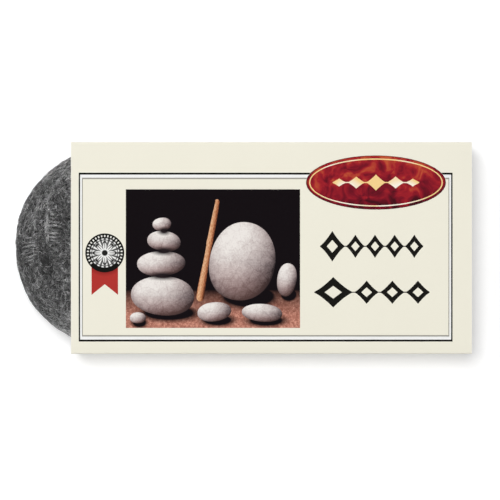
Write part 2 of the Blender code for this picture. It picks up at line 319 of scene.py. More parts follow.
# %% Light
def lamp(name, place, size, power, aim=(0, 0, 0.02)):
    data = bpy.data.lights.new(name, "AREA")
    data.shape = "DISK"
    data.size = size
    data.energy = power
    made = put_in_scene(name, data)
    made.location = place
    made.rotation_euler = (Vector(aim) - Vector(place)).to_track_quat("-Z", "Y").to_euler()


lamp("overhead_lamp", (-0.23, 0.31, 2.6), 0.80, 39.4)
lamp("upper_left_lamp", (-1.1, 1.0, 1.3), 0.9, 5.3)


def seen_directly(tree):
    """1 for the rays that show the background: camera, glossy and transmission rays."""
    ray = tree.nodes.new("ShaderNodeLightPath").outputs
    return Value(ray["Is Camera Ray"]).larger(ray["Is Glossy Ray"]).larger(ray["Is Transmission Ray"])


world = bpy.data.worlds.new("pale_room")
bpy.context.scene.world = world
world.use_nodes = True
tree = world.node_tree
height = split(tree, tree.nodes.new("ShaderNodeTexCoord").outputs["Generated"])[2]
white_wall = step_up(tree, height, 0.75, 0.25) * 0.68
fill(tree.nodes["Background"], {"Color": (1, 1, 1), "Strength": seen_directly(tree) * white_wall + 0.32})
bpy.context.scene.view_settings.view_transform = "Standard"
print("lamps", len(bpy.data.lights), "and a world that is", world.name)

# %% [markdown]
# The floor is matt and white, and stands for the paper that a pack is photographed on. It lies a tenth of a
# millimetre below the card, because two faces in one plane flicker.

# %% Floor
only(None)
bpy.ops.mesh.primitive_plane_add(size=6, location=(0, 0, -0.0001))
floor = bpy.context.object
floor.name = floor.data.name = "floor"
material, tree, shader = new_material("pale_floor")
fill(shader, {"Base Color": (0.90, 0.90, 0.90), "Roughness": 0.9, "Specular IOR Level": 0.1})
fill(shader, {"Emission Color": (1, 1, 1), "Emission Strength": seen_directly(tree) * 0.28})
floor.data.materials.append(material)
print("floor and lights are in place")

# %% [markdown]
# ## Grain and wear
#
# Card and the ink on it share one surface. It has a faint, cloudy tone, and a fine tooth that takes the shine off. A
# group holds this grain, and every card and ink material uses it with its own values.

# %% Paper grain group
paper_grain, (colour, clouding, tooth_height), out = new_group(
    "Paper Grain",
    [("Colour", "Color", (1, 1, 1, 1)), ("Clouding", "Float", 0.03), ("Tooth", "Float", 1.0)],
    [("Colour", "Color"), ("Roughness", "Float"), ("Height", "Float")],
)
place = object_place(paper_grain)
clouds = noise_at(paper_grain, place, 45.0, 4.0)
tooth = noise_at(paper_grain, place, 2600.0, 2.0)
flecks = noise_at(paper_grain, place, 900.0, 3.0)
level = (flecks * 0.5 + clouds - 0.75) * clouding * 2.0 + 1.0
grey = add(paper_grain, "ShaderNodeCombineColor", {0: level, 1: level, 2: level}).outputs[0]
tinted = mix_colours(paper_grain, 1.0, colour, grey, "MULTIPLY")
fill(out, {"Colour": tinted, "Roughness": flecks * 0.16 + 0.70, "Height": tooth * tooth_height})
print("group", paper_grain.name)

# %% [markdown]
# Card is rubbed paler along its folds and its cut ends. A second group finds these places by their distance from the
# sleeve's edges, and breaks them up with noise. A fold lies where the panel's side and its face are both near, so
# those two distances are added.

# %% Rubbed edge group
rubbed_edge, (width, amount), out = new_group(
    "Rubbed Edge", [("Width", "Float", 0.0006), ("Amount", "Float", 0.5)], [("Mask", "Float")]
)
place = object_place(rubbed_edge)
x, y, z = split(rubbed_edge, place)
to_end = sleeve_length / 2 - abs(x)
to_side = (sleeve_height / 2 - abs(y)).larger(0.0)
to_face = sleeve_depth / 2 - abs(z - sleeve_depth / 2)
nearest = to_end.math("MINIMUM", to_end, to_side + to_face)
reach = width * noise_at(rubbed_edge, place, 160.0, 5.0) * 2.2
fill(out, {"Mask": (1.0 - nearest / reach).clamped() * amount})
print("group", rubbed_edge.name)

# %% [markdown]
# ## The sleeve
#
# The real sleeve is cut flat, creased in four places and glued to itself on a flap. It is modelled in the same way:
# a plane is the front panel, the spin tool bends its edge round each fold, and extruding the edge makes the next
# panel. Spinning gives a true soft fold, which a bevelled box would not give together with an overlapping flap.


# %% Fold the strip of card
def fold_round(side, drop, last):
    """From the front panel's edge on one side: a fold, a side panel, a second fold and a last panel."""
    edge_y = side * (sleeve_height / 2 - fold_radius)

    def on_edge(*ends):
        return all(abs(end.y - edge_y) < 1e-5 and abs(end.z - sleeve_depth) < 1e-5 for end in ends)

    pick_edges(sleeve, on_edge)
    bend = {"steps": 6, "angle": math.pi / 2, "axis": (side, 0, 0)}
    bpy.ops.mesh.spin(center=(0, edge_y, sleeve_depth - fold_radius), **bend)
    bpy.ops.mesh.extrude_region_move(TRANSFORM_OT_translate={"value": (0, 0, -drop)})
    bpy.ops.mesh.spin(center=(0, edge_y, sleeve_depth - fold_radius - drop), **bend)
    bpy.ops.mesh.extrude_region_move(TRANSFORM_OT_translate={"value": (0, -side * last, 0)})
    bpy.ops.object.mode_set(mode="OBJECT")


only(None)
bpy.ops.mesh.primitive_plane_add(size=1)
sleeve = bpy.context.object
sleeve.name = sleeve.data.name = "sleeve"
edit_all(sleeve)
bpy.ops.transform.resize(value=(sleeve_length, sleeve_height - 2 * fold_radius, 1))
bpy.ops.transform.translate(value=(0, 0, sleeve_depth))
side_drop = sleeve_depth - 2 * fold_radius
fold_round(-1, side_drop, sleeve_height - 2 * fold_radius)
fold_round(1, side_drop - card_thickness, flap_width - fold_radius)
print("folded strip", [round(1000 * v, 2) for v in sleeve.dimensions], "mm, faces", len(sleeve.data.polygons))

# %% [markdown]
# Card is never quite flat. The wool fills the sleeve and pushes the front up by a little less than a millimetre, more
# at the mouth where the pad is than at the empty right end, and the sides draw in slightly between their folds. The
# strip is first cut into a grid, so that it has the points to bend by. The print follows the same rule later.

# %% Bow the panels
front_bow = 0.0008
side_bow = 0.00035
fades_over = 0.055


def panel_rise(x, y):
    """How far the front panel stands above a flat one."""
    across = max(0.0, 1 - (2 * y / sleeve_height) ** 2)
    near_end = min(1.0, max(0.0, (sleeve_high.x - x) / fades_over))
    along = 0.35 + 0.65 * near_end * near_end * (3 - 2 * near_end)
    return front_bow * across * along


for axis, shortest, cuts in ((0, 0.1, 33), (1, 0.05, 19), (2, 0.02, 7)):
    pick_edges(sleeve, lambda a, b: abs(a[axis] - b[axis]) > shortest)
    bpy.ops.mesh.subdivide(number_cuts=cuts)
bpy.ops.object.mode_set(mode="OBJECT")
for vertex in sleeve.data.vertices:
    x, y, z = vertex.co
    if z > sleeve_depth - 1e-5:
        vertex.co.z += panel_rise(x, y)
    elif abs(y) > sleeve_height / 2 - 1e-5:
        share = min(1, max(0, (z - fold_radius) / side_drop))
        vertex.co.y -= math.copysign(side_bow * math.sin(math.pi * share), y)
edit_all(sleeve)
bpy.ops.mesh.normals_make_consistent(inside=False)
bpy.ops.object.mode_set(mode="OBJECT")
front = max(sleeve.data.polygons, key=lambda face: face.center.z)
if front.normal.z < 0:
    sleeve.data.flip_normals()
print("sleeve grid", len(sleeve.data.vertices), "vertices, bowed by", 1000 * front_bow, "mm")

# %% [markdown]
# The card is cream and coated on the outside. Inside it is plain, greyer board, and the cut ends show its pale core.
# Each gets a material, and the Solidify modifier hands them out to the outer wall, the inner wall and the rim.

# %% Card materials
cream = (0.870, 0.842, 0.716)
card_outside, tree, shader = new_material("card_outside")
grain = place_group(tree, paper_grain, {"Colour": cream, "Clouding": 0.016})
rubbed = place_group(tree, rubbed_edge, {"Width": 0.0007, "Amount": 0.55})
shown = mix_colours(tree, rubbed["Mask"], grain["Colour"], (0.90, 0.88, 0.81))
fill(shader, {"Base Color": shown, "Roughness": grain["Roughness"], "Specular IOR Level": 0.35})
bump(shader, grain["Height"], 0.10, 0.00005)

card_inside, tree, shader = new_material("card_inside")
grain = place_group(tree, paper_grain, {"Colour": (0.66, 0.63, 0.55), "Clouding": 0.10, "Tooth": 2.0})
fill(shader, {"Base Color": grain["Colour"], "Roughness": grain["Roughness"], "Specular IOR Level": 0.2})
bump(shader, grain["Height"], 0.3, 0.0001)

card_cut, tree, shader = new_material("card_cut")
grain = place_group(tree, paper_grain, {"Colour": (0.80, 0.77, 0.68), "Clouding": 0.12, "Tooth": 3.0})
fill(shader, {"Base Color": grain["Colour"], "Roughness": 0.9, "Specular IOR Level": 0.1})
bump(shader, grain["Height"], 0.5, 0.0001)

sleeve.data.materials.clear()
for material in (card_outside, card_inside, card_cut):
    sleeve.data.materials.append(material)
wall = sleeve.modifiers.new("wall", "SOLIDIFY")
wall.thickness = card_thickness
wall.offset = -1
wall.use_even_offset = True
wall.material_offset = 1
wall.material_offset_rim = 2
apply_modifiers(sleeve)
bpy.ops.object.shade_smooth_by_angle(angle=math.radians(40))
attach(sleeve, "root")
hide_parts("card_sleeve")
print("sleeve", triangles(sleeve), "triangles")

# %% [markdown]
# ## Printing
#
# Ink is a film on the card. A picture on the card's own material would need an image, and a film keeps crisp edges
# at any size. Each field of colour is drawn as a flat outline that a 2D curve fills. It is then cut along a grid, so
# that it can bend with the card.

# %% Helper for a flat field
fold_grid = 0.006


def flat_field(name, loops):
    """A flat piece from its outline and holes, cut along a grid, with its face up."""
    curve = bpy.data.curves.new(name, "CURVE")
    curve.dimensions = "2D"
    curve.fill_mode = "BOTH"
    for loop in loops:
        spline = curve.splines.new("POLY")
        spline.points.add(len(loop) - 1)
        for point, (x, y) in zip(spline.points, loop):
            point.co = (x, y, 0, 1)
        spline.use_cyclic_u = True
    piece = to_mesh(name, curve)
    edit_all(piece)
    bpy.ops.mesh.remove_doubles(threshold=1e-7)
    for axis in range(2):
        places = [point[axis] for point in loops[0]]
        first, last = math.ceil(min(places) / fold_grid), math.floor(max(places) / fold_grid)
        for line in range(first, last + 1):
            bpy.ops.mesh.select_all(action="SELECT")
            cut = [0.0, 0.0, 0.0]
            cut[axis] = line * fold_grid
            bpy.ops.mesh.bisect(plane_co=cut, plane_no=(1 - axis, axis, 0))
    bpy.ops.object.mode_set(mode="OBJECT")
    if sum(face.normal.z * face.area for face in piece.data.polygons) < 0:
        piece.data.flip_normals()
    return piece


# %% [markdown]
# The flat field is laid on the bowed front panel and given a film's thickness. Fields that are printed over others
# lie one film higher. Each has a pattern map as well, for inks that draw something of their own on it.

# %% Helper for a film of ink
film = 0.00003
film_gap = 0.00002


def ink_film(name, loops, ink, replaced, level=0, uv=None):
    """A printed field. loops are its outline and holes, level its film, uv a rule from x, y to its own pattern."""
    piece = flat_field(name, loops)
    mesh = piece.data
    layer = mesh.uv_layers.new(name="pattern")
    for loop in mesh.loops:
        x, y, _ = mesh.vertices[loop.vertex_index].co
        layer.data[loop.index].uv = uv(x, y) if uv else (x, y)
    lift = film_gap + level * (film + film_gap)
    for vertex in mesh.vertices:
        vertex.co.z = sleeve_depth + panel_rise(vertex.co.x, vertex.co.y) + lift
    body = piece.modifiers.new("film", "SOLIDIFY")
    body.thickness = film
    body.offset = 1
    apply_modifiers(piece)
    piece.data.materials.clear()
    piece.data.materials.append(ink)
    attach(piece, "root")
    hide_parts(replaced)
    print(name, triangles(piece), "triangles")


# %% [markdown]
# Outlines are lists of points. These three rules give a rectangle, a part of a circle and an upright oval.


# %% Outlines
def rectangle(low, high):
    return [(low[0], low[1]), (high[0], low[1]), (high[0], high[1]), (low[0], high[1])]


def arc(middle, radius, start, end, steps):
    angles = [math.radians(start + (end - start) * i / steps) for i in range(steps + 1)]
    return [(middle[0] + radius * math.cos(a), middle[1] + radius * math.sin(a)) for a in angles]


def oval(middle, half_width, half_height, steps=96):
    angles = [2 * math.pi * i / steps for i in range(steps)]
    return [(middle.x + half_width * math.cos(a), middle.y + half_height * math.sin(a)) for a in angles]


# %% [markdown]
# Printing ink on card is matt and thin. Its colour is nearly even, with the card's tooth showing through. One helper
# makes the plain inks. The fields with shading of their own get their materials where they are drawn.


# %% Plain inks
def finish_ink(shader, colour, clouding=0.03):
    """Feed a colour through the card's grain into the shader."""
    grain = place_group(shader.id_data, paper_grain, {"Colour": colour, "Clouding": clouding})
    fill(shader, {"Base Color": grain["Colour"], "Roughness": grain["Roughness"], "Specular IOR Level": 0.06})
    bump(shader, grain["Height"], 0.08, 0.00005)


def plain_ink(name, colour):
    material, _, shader = new_material(name)
    finish_ink(shader, colour, 0.06)
    return material


black_ink = plain_ink("black_ink", (0.008, 0.0075, 0.006))
white_ink = plain_ink("white_ink", (0.91, 0.91, 0.90))
grey_ink = plain_ink("grey_ink", (0.34, 0.33, 0.29))
print("plain inks", black_ink.name, white_ink.name, grey_ink.name)

# %% [markdown]
# ## The ruled frame
#
# A black rule runs round the front, with a white band and a grey hairline inside it. All three stop at the oval
# plaque. The corners are measured from the solids, and each strip is drawn as one open outline that bends at the
# corners. The solids keep gaps between the strips, but on the card the band fills all the room between the two lines.


# %% Ruled frame
plaque_low, plaque_high = corners("print_plaque")
plaque_middle = (plaque_low + plaque_high) / 2
plaque_width, plaque_height, _ = plaque_high - plaque_low
hair_gap = 0.0001


def plaque_edge(y):
    """How far the plaque, with a hair's gap round it, reaches to each side at the height y."""
    share = (y - plaque_middle.y) / (plaque_height / 2 + hair_gap)
    return (plaque_width / 2 + hair_gap) * math.sqrt(max(0.0, 1 - share * share))


def broken_rule(inset_x, inset_y, upright, level):
    """One strip of the frame, this far inside its outer edge, as wide as upright and level say."""
    low, high = corners("print_frame_line")
    left_x, right_x, top_y, bottom_y = low.x + inset_x, high.x - inset_x, high.y - inset_y, low.y + inset_y
    in_left, in_right, in_top, in_bottom = left_x + upright, right_x - upright, top_y - level, bottom_y + level
    return [
        (plaque_middle.x - plaque_edge(top_y), top_y),
        *((left_x, top_y), (left_x, bottom_y), (right_x, bottom_y), (right_x, top_y)),
        (plaque_middle.x + plaque_edge(top_y), top_y),
        (plaque_middle.x + plaque_edge(in_top), in_top),
        *((in_right, in_top), (in_right, in_bottom), (in_left, in_bottom), (in_left, in_top)),
        (plaque_middle.x - plaque_edge(in_top), in_top),
    ]


hair_x, hair_y, _ = corners("print_frame_hairline")[0] - corners("print_frame_line")[0]
rule_x, rule_y = 0.00071, 0.00097
for replaced, name, strip, ink, slot in (
    ("print_frame_line", "frame_rule", (0, 0, rule_x, rule_y), black_ink, "ink_black"),
    ("print_frame_band", "frame_band", (rule_x, rule_y, hair_x - rule_x, hair_y - rule_y), white_ink, "ink_white"),
    ("print_frame_hairline", "frame_hairline", (hair_x, hair_y, 0.00044, 0.0007), grey_ink, "ink_grey"),
):
    ink_film(name, [broken_rule(*strip)], ink, replaced)

# %% [markdown]
# ## The picture
#
# The card shows a still life: pale pebbles and a stick against the dark, on a rust-coloured ground. The dark field
# and the ground are two films. The pebbles and the stick are a film above them.
#
# The shading of a pebble is painted, not lit. A node group turns a flat oval into a shaded one: the pattern map runs
# from -1 to 1 across the oval, which gives the slope that a round pebble would have there. The painted light comes
# from the upper left. Light that comes back from the ground falls on the underside, but not on its very rim.

# %% Painted round group
painted_round, (across, up), out = new_group(
    "Painted Round",
    [("Across", "Float", 0.0), ("Up", "Float", 0.0)],
    [("Light", "Float"), ("From Ground", "Float")],
)
round_part = (1.0 - (across * across + up * up)).clamped()
facing = round_part.math("SQRT", round_part)
from_ground = (up * -1.0).clamped() * facing * 2.0
fill(out, {"Light": across * -0.42 + up * 0.62 + facing * 0.66, "From Ground": from_ground})
print("group", painted_round.name)

# %% [markdown]
# Soft shadows and dark rims in the print are ovals that fade from their middle to their rim. A group measures how
# far inside such an oval a place lies.

# %% Soft oval group
soft_oval, (place, middle, half_size), out = new_group(
    "Soft Oval", [("Place", "Vector"), ("Middle", "Vector"), ("Half Size", "Vector")], [("Inside", "Float")]
)
distance = place
for operation, other in (("SUBTRACT", middle), ("DIVIDE", half_size), ("MULTIPLY", (1.0, 1.0, 0.0))):
    distance = add(soft_oval, "ShaderNodeVectorMath", {0: distance, 1: other}, operation=operation).outputs[0]
distance = add(soft_oval, "ShaderNodeVectorMath", {0: distance}, operation="LENGTH").outputs["Value"]
fill(out, {"Inside": (1.0 - Value(distance)).clamped()})


def inside_oval(tree, place, middle, half_size):
    """1 in the middle of an oval and 0 at its rim. middle and half_size are pairs of x and y."""
    inputs = {"Place": place, "Middle": (*middle, 0.0), "Half Size": (*half_size, 1.0)}
    return place_group(tree, soft_oval, inputs)["Inside"]


print("group", soft_oval.name)

# %% [markdown]
# Each pebble's oval is read from its solid: the box and the tilt give back its width and height. The solids of the
# pile stand about a millimetre apart, so the pile is drawn a little taller, and its pebbles meet.


# %% Measure the pebbles
def oval_from_box(node, tilt, taller):
    """The middle, half width and half height of a tilted oval whose box is known, with its height times taller."""
    low, high = corners(node)
    middle, half = (low + high) / 2, (high - low) / 2
    turn = math.radians(tilt)
    c, s = math.cos(turn) ** 2, math.sin(turn) ** 2
    wide = (c * half.x**2 - s * half.y**2) / (c * c - s * s)
    tall = (c * half.y**2 - s * half.x**2) / (c * c - s * s)
    return middle, math.sqrt(wide), math.sqrt(tall) * taller, turn


pebble_tilts = (-10, -3, 4, -6, 5, 5, -5, -8, 3)
pile_taller = {2: 1.05, 3: 1.13, 4: 1.10, 5: 1.08}
pile = list(pile_taller)
ovals = {
    number: oval_from_box(f"print_pebble_{number}", tilt, pile_taller.get(number, 1.0))
    for number, tilt in enumerate(pebble_tilts, start=1)
}
print("pebbles", len(ovals), "with a pile, from the ground up:", pile)

# %% [markdown]
# The stone is pale, mottled and speckled, with fine cracks. Where one pebble of the pile rests on the next, a soft
# oval darkens both of them.

# %% Pebble ink
pebble_ink, tree, shader = new_material("pebble_ink")
place = object_place(tree)
across, up, _ = split(tree, pattern_place(tree))
painted = place_group(tree, painted_round, {"Across": across, "Up": up})
mottle = noise_at(tree, place, 380.0, 5.0, Roughness=0.65)
speckle = noise_at(tree, place, 1300.0, 3.0, Roughness=0.8)
cells = {"Vector": place, "Scale": 150.0, "Randomness": 1.0}
from_crack = Value(add(tree, "ShaderNodeTexVoronoi", cells, feature="DISTANCE_TO_EDGE").outputs["Distance"])
crack = (1.0 - from_crack * 22.0).clamped()
tone = painted["Light"] * 0.74 + 0.24 + (mottle - 0.5) * 0.42 + (speckle - 0.5) * 0.38 - crack * 0.07
stone = ramp(
    tree,
    tone,
    [
        (0.00, (0.022, 0.015, 0.017)),
        (0.28, (0.150, 0.112, 0.113)),
        (0.50, (0.350, 0.285, 0.278)),
        (0.72, (0.590, 0.515, 0.495)),
        (0.96, (0.860, 0.815, 0.775)),
    ],
)
stone = mix_colours(tree, painted["From Ground"], stone, (0.085, 0.042, 0.034), "ADD")
for below, above in zip(pile, pile[1:]):
    (low_middle, _, low_tall, _), (high_middle, high_wide, high_tall, _) = ovals[below], ovals[above]
    contact_x = (low_middle.x + high_middle.x) / 2 + 0.0006
    contact_y = (low_middle.y + low_tall + high_middle.y - high_tall) / 2
    contact = inside_oval(tree, place, (contact_x, contact_y), (0.9 * high_wide, 0.0026))
    stone = mix_colours(tree, (contact * 1.5).clamped(), stone, (0.016, 0.010, 0.012))
finish_ink(shader, stone)
print("contacts in the pile", len(pile) - 1)

# %% [markdown]
# Real pebbles aren't true ovals, so each outline is filled out a little towards its corners and wanders by a few
# hundredths. The pattern map turns with the pebble.


# %% Pebbles
def pebble_outline(number, wide, tall):
    """A pebble's outline about its own middle, before it is turned."""
    outline = []
    for i in range(72):
        angle = 2 * math.pi * i / 72
        wander = 1 + 0.02 * math.sin(2 * angle + number) + 0.012 * math.sin(3 * angle + 2.4 * number)
        c, s = math.cos(angle), math.sin(angle)
        x = wide * wander * math.copysign(abs(c) ** 0.94, c)
        y = tall * wander * math.copysign(abs(s) ** 0.94, s)
        outline.append((x, y))
    return outline


pattern_margin = 1.04
for number, (middle, wide, tall, turn) in ovals.items():
    c, s = math.cos(turn), math.sin(turn)

    def across_pebble(x, y):
        x, y = x - middle.x, y - middle.y
        return (x * c + y * s) / wide / pattern_margin, (y * c - x * s) / tall / pattern_margin

    outline = [(middle.x + x * c - y * s, middle.y + x * s + y * c) for x, y in pebble_outline(number, wide, tall)]
    replaced = f"print_pebble_{number}"
    ink_film(f"pebble_{number}", [outline], pebble_ink, replaced, level=1, uv=across_pebble)

# %% [markdown]
# The stick leans between the pebbles, thicker at its foot, with a knot in it. Its pattern map runs from -1 to 1
# across it and counts millimetres along it, so that the bark's light side and its long grain follow the stick.

# %% Stick's outline
foot_radius, head_radius = 0.0018, 0.0011
pattern_half_width = 0.0019
stick_low, stick_high = corners("print_stick")
foot = Vector((stick_low.x + foot_radius, stick_low.y + foot_radius))
head = Vector((stick_high.x - head_radius, stick_high.y - head_radius))
lean = head - foot
lean_angle = math.degrees(math.atan2(lean.y, lean.x))
out_from_stick = Vector((-lean.y, lean.x)).normalized()
left_side, right_side = [], []
steps = 26
for i in range(steps + 1):
    share = i / steps
    half = foot_radius + (head_radius - foot_radius) * share
    knot = 0.0002 * math.sin(9 * share + 1) + 0.00025 * math.exp(-(((share - 0.58) / 0.03) ** 2))
    spot = foot + share * lean + out_from_stick * 0.0002 * math.sin(5 * share)
    left_side.append(tuple(spot + out_from_stick * (half + knot)))
    right_side.append(tuple(spot - out_from_stick * (half + 0.6 * knot)))
stick_outline = arc(foot, foot_radius, lean_angle + 90, lean_angle + 270, 8)[1:-1] + right_side
stick_outline += arc(head, head_radius, lean_angle - 90, lean_angle + 90, 8)[1:-1] + left_side[::-1]
print("stick leans", round(lean_angle, 1), "degrees")


# %% [markdown]
# The same group that rounds the pebbles rounds the stick, and noise that is stretched along it is its grain.


# %% Stick
def along_stick(x, y):
    from_foot = Vector((x, y)) - foot
    return -from_foot.dot(out_from_stick) / pattern_half_width, from_foot.dot(lean) / lean.length * 1000


stick_ink, tree, shader = new_material("stick_ink")
pattern = pattern_place(tree)
light = place_group(tree, painted_round, {"Across": split(tree, pattern)[0], "Up": 0.0})["Light"]
stretched = add(tree, "ShaderNodeMapping", {"Vector": pattern, "Scale": (2.2, 0.35, 1.0)}).outputs[0]
bark = noise_at(tree, stretched, 2.0, 5.0)
wood = ramp(
    tree,
    light + (bark - 0.5) * 0.9,
    [
        (0.05, (0.060, 0.016, 0.008)),
        (0.40, (0.330, 0.105, 0.045)),
        (0.66, (0.600, 0.270, 0.130)),
        (0.95, (0.860, 0.560, 0.340)),
    ],
)
finish_ink(shader, wood)
ink_film("stick", [stick_outline], stick_ink, "print_stick", level=1, uv=along_stick)

# %% [markdown]
# The ground is rough and rust-coloured in front, and sinks into the dark behind. Both films carry the same painting,
# so that no seam shows, and they meet where the solids keep a small gap. Each pebble that stands on the ground
# throws a soft shadow on it.

# %% Ground and dark field
ground_low, ground_high = corners("print_picture_ground")
dark_low, dark_high = corners("print_picture_dark")


def backdrop_ink(name):
    material, tree, shader = new_material(name)
    place = object_place(tree)
    sand = noise_at(tree, place, 800.0, 5.0, Roughness=0.8)
    rusts = [(0.30, (0.200, 0.060, 0.040)), (0.52, (0.500, 0.210, 0.150)), (0.70, (0.860, 0.440, 0.330))]
    shadow = step_up(tree, split(tree, place)[1], ground_low.y + 0.006, ground_high.y + 0.007)
    for number, (middle, wide, tall, _) in ovals.items():
        if number not in pile[1:]:
            resting = (middle.x + 0.20 * wide, middle.y - 0.86 * tall)
            cast = inside_oval(tree, place, resting, (1.30 * wide, 0.30 * tall + 0.0026))
            shadow = shadow.larger((cast * 2.4).clamped())
    finish_ink(shader, mix_colours(tree, shadow, ramp(tree, sand, rusts), (0.0048, 0.0027, 0.0040)))
    return material


seam_y = (ground_high.y + dark_low.y) / 2
dark_loop, ground_loop = rectangle((dark_low.x, seam_y), dark_high), rectangle(ground_low, (ground_high.x, seam_y))
ink_film("dark_field", [dark_loop], backdrop_ink("night_ink"), "print_picture_dark")
ink_film("ground", [ground_loop], backdrop_ink("ground_ink"), "print_picture_ground")
print("picture", [round(1000 * v, 1) for v in (dark_high.x - dark_low.x, dark_high.y - ground_low.y)], "mm")

# %% [markdown]
# ## The plaque
#
# A deep red oval hangs over the frame's top line. The red is marbled, glows towards the top and is dark at the bottom
# and the rim, like an old enamel.

# %% Plaque
maroon_ink, tree, shader = new_material("maroon_ink")
place = object_place(tree)
inside = inside_oval(tree, place, (plaque_middle.x, plaque_middle.y), (plaque_width / 2, plaque_height / 2))
marble = noise_at(tree, place, 130.0, 7.0, Distortion=1.2)
glow = (split(tree, place)[1] - plaque_middle.y) * (0.34 / plaque_height)
red = ramp(
    tree,
    marble + glow,
    [
        (0.28, (0.060, 0.005, 0.010)),
        (0.44, (0.190, 0.007, 0.018)),
        (0.58, (0.360, 0.016, 0.024)),
        (0.74, (0.520, 0.085, 0.035)),
    ],
)
rim = (1.0 - inside * 26.0).clamped() * 0.85
finish_ink(shader, mix_colours(tree, rim, red, (0.030, 0.004, 0.006)))
plaque_outline = oval(plaque_middle, plaque_width / 2, plaque_height / 2)
ink_film("plaque", [plaque_outline], maroon_ink, "print_plaque", level=1)

# %% [markdown]
# A line that goes from cream to gold runs inside the rim. The same ink is used for the ornament in the middle.

# %% Plaque's line
line_width = 0.0006
gilt_ink, tree, shader = new_material("gilt_ink")
sweep = noise_at(tree, object_place(tree), 70.0, 1.0)
finish_ink(shader, ramp(tree, sweep, [(0.42, (0.96, 0.88, 0.74)), (0.56, (0.93, 0.66, 0.28))]))
line_low, line_high = corners("print_plaque_line")
half_x, half_y, _ = (line_high - line_low) / 2
line_loops = [oval(plaque_middle, half_x - inset, half_y - inset) for inset in (0.0, line_width)]
ink_film("plaque_line", line_loops, gilt_ink, "print_plaque_line", level=2)

# %% [markdown]
# ## Rows of lozenges
#
# Printers set rows of lozenges as ornament. Each lozenge's sides are a little hollow, so that it comes to a fine
# point where it meets the next on a thin rule. One outline draws a whole row, and the dark rows have open hearts.


# %% Lozenge rows
def lozenge_row(middle, sizes, rule=0.0005, waist=1.35, steps=8):
    left = middle.x - sum(width for width, _ in sizes) / 2
    upper = []
    for width, height in sizes:
        reach = 1 - (rule / height) ** (1 / waist)
        for i in range(-steps, steps + 1):
            share = reach * i / steps
            upper.append((left + width / 2 * (1 + share), height / 2 * (1 - abs(share)) ** waist))
        left += width
    lower = [(x, -y) for x, y in reversed(upper)]
    return [(x, middle.y + y) for x, y in upper + lower]


def hearts(middle, sizes, share=0.42):
    """A small lozenge in the middle of each one in a row."""
    left = middle.x - sum(width for width, _ in sizes) / 2
    loops = []
    for width, height in sizes:
        x, wide, tall = left + width / 2, share * width / 2, share * height / 2
        loops.append([(x - wide, middle.y), (x, middle.y - tall), (x + wide, middle.y), (x, middle.y + tall)])
        left += width
    return loops


gilt_sizes = ((0.0080, 0.0040), (0.0092, 0.0060), (0.0104, 0.0080), (0.0092, 0.0060), (0.0080, 0.0040))
upper_sizes = ((0.0132, 0.0152),) + ((0.0098, 0.0116),) * 4
lower_sizes = ((0.0205, 0.0152),) + ((0.0128, 0.0116),) * 3
for replaced, name, sizes, ink, slot, level in (
    ("print_plaque_ornament", "plaque_ornament", gilt_sizes, gilt_ink, "ink_cream", 2),
    ("print_title_row_1", "upper_row", upper_sizes, black_ink, "ink_black", 0),
    ("print_title_row_2", "lower_row", lower_sizes, black_ink, "ink_black", 0),
):
    low, high = corners(replaced)
    middle = (low + high) / 2
    open_hearts = hearts(middle, sizes) if ink == black_ink else []
    ink_film(name, [lozenge_row(middle, sizes)] + open_hearts, ink, replaced, level=level)

# %% [markdown]
# ## The seal
#
# A round seal hangs left of the picture: a black ring with a border of small white dashes, a pale disc with an
# engraved flower, and a red ribbon with a swallow tail below it. The dashes and the flower are patterns in the ink.
# They are drawn by the distance from the seal's middle and the angle round it, which the pattern map gives.

# %% Measure the seal
ring_low, ring_high = corners("print_seal_ring")
seal_middle = (ring_low + ring_high) / 2
ink_spread = 0.0003
seal_radius = (ring_high.x - ring_low.x) / 2 + ink_spread
ring_width = 0.0024


def round_seal(x, y):
    return (x - seal_middle.x) / seal_radius, (y - seal_middle.y) / seal_radius


def polar(tree):
    """The distance from the seal's middle, in seal radii, and the angle round it from the bottom."""
    pattern = pattern_place(tree)
    distance = add(tree, "ShaderNodeVectorMath", {0: pattern}, operation="LENGTH").outputs["Value"]
    across, up, _ = split(tree, pattern)
    return Value(distance), across.math("ARCTAN2", across, up * -1.0)


def cosine(angle):
    return angle.math("COSINE", angle)


def edge(value, at, soft):
    """0 below the value at, 1 above it, with a soft step between."""
    return step_up(value.output.id_data, value, at - soft, at + soft, "SMOOTHSTEP")


print("seal radius", round(1000 * seal_radius, 2), "mm")

# %% [markdown]
# The dashes are where the cosine of many times the angle is high, in a narrow band of distances. They leave the
# bottom of the ring free, where the ribbon hangs.

# %% Ring ink
ring_ink, tree, shader = new_material("ring_ink")
distance, angle = polar(tree)
in_band = 1.0 - edge(abs(distance - 0.868), 0.050, 0.012)
dash = edge(cosine(angle * 34.0), 0.20, 0.25) * in_band * edge(abs(angle), math.radians(48), 0.01)
finish_ink(shader, mix_colours(tree, dash, (0.006, 0.006, 0.005), (0.82, 0.81, 0.76)))
print("ink", ring_ink.name)

# %% [markdown]
# Eight petals reach out to 0.6 of the seal's radius, with a dark outline and a vein. A small heart fills their
# middle, rays fill the room round them, and a hoop closes the rim.

# %% Disc ink
disc_ink, tree, shader = new_material("disc_ink")
distance, angle = polar(tree)
petal = abs(cosine(angle * 4.0))
past = distance - (petal * 0.36 + 0.22)
outside = edge(past, 0.05, 0.02)
outline = 1.0 - edge(abs(past), 0.048, 0.018)
vein = edge(petal, 0.985, 0.008) * edge(distance, 0.24, 0.02) * (1.0 - outside)
heart = 1.0 - edge(distance, 0.15, 0.02)
ray = edge(cosine(angle * 20.0), -0.05, 0.25) * outside * 0.9
hoop = 1.0 - edge(abs(distance - 0.665), 0.020, 0.010)
dark = outline.larger(vein).larger(heart).larger(ray).larger(hoop)
finish_ink(shader, mix_colours(tree, dark, (0.84, 0.84, 0.82), (0.016, 0.016, 0.015)))
print("ink", disc_ink.name)

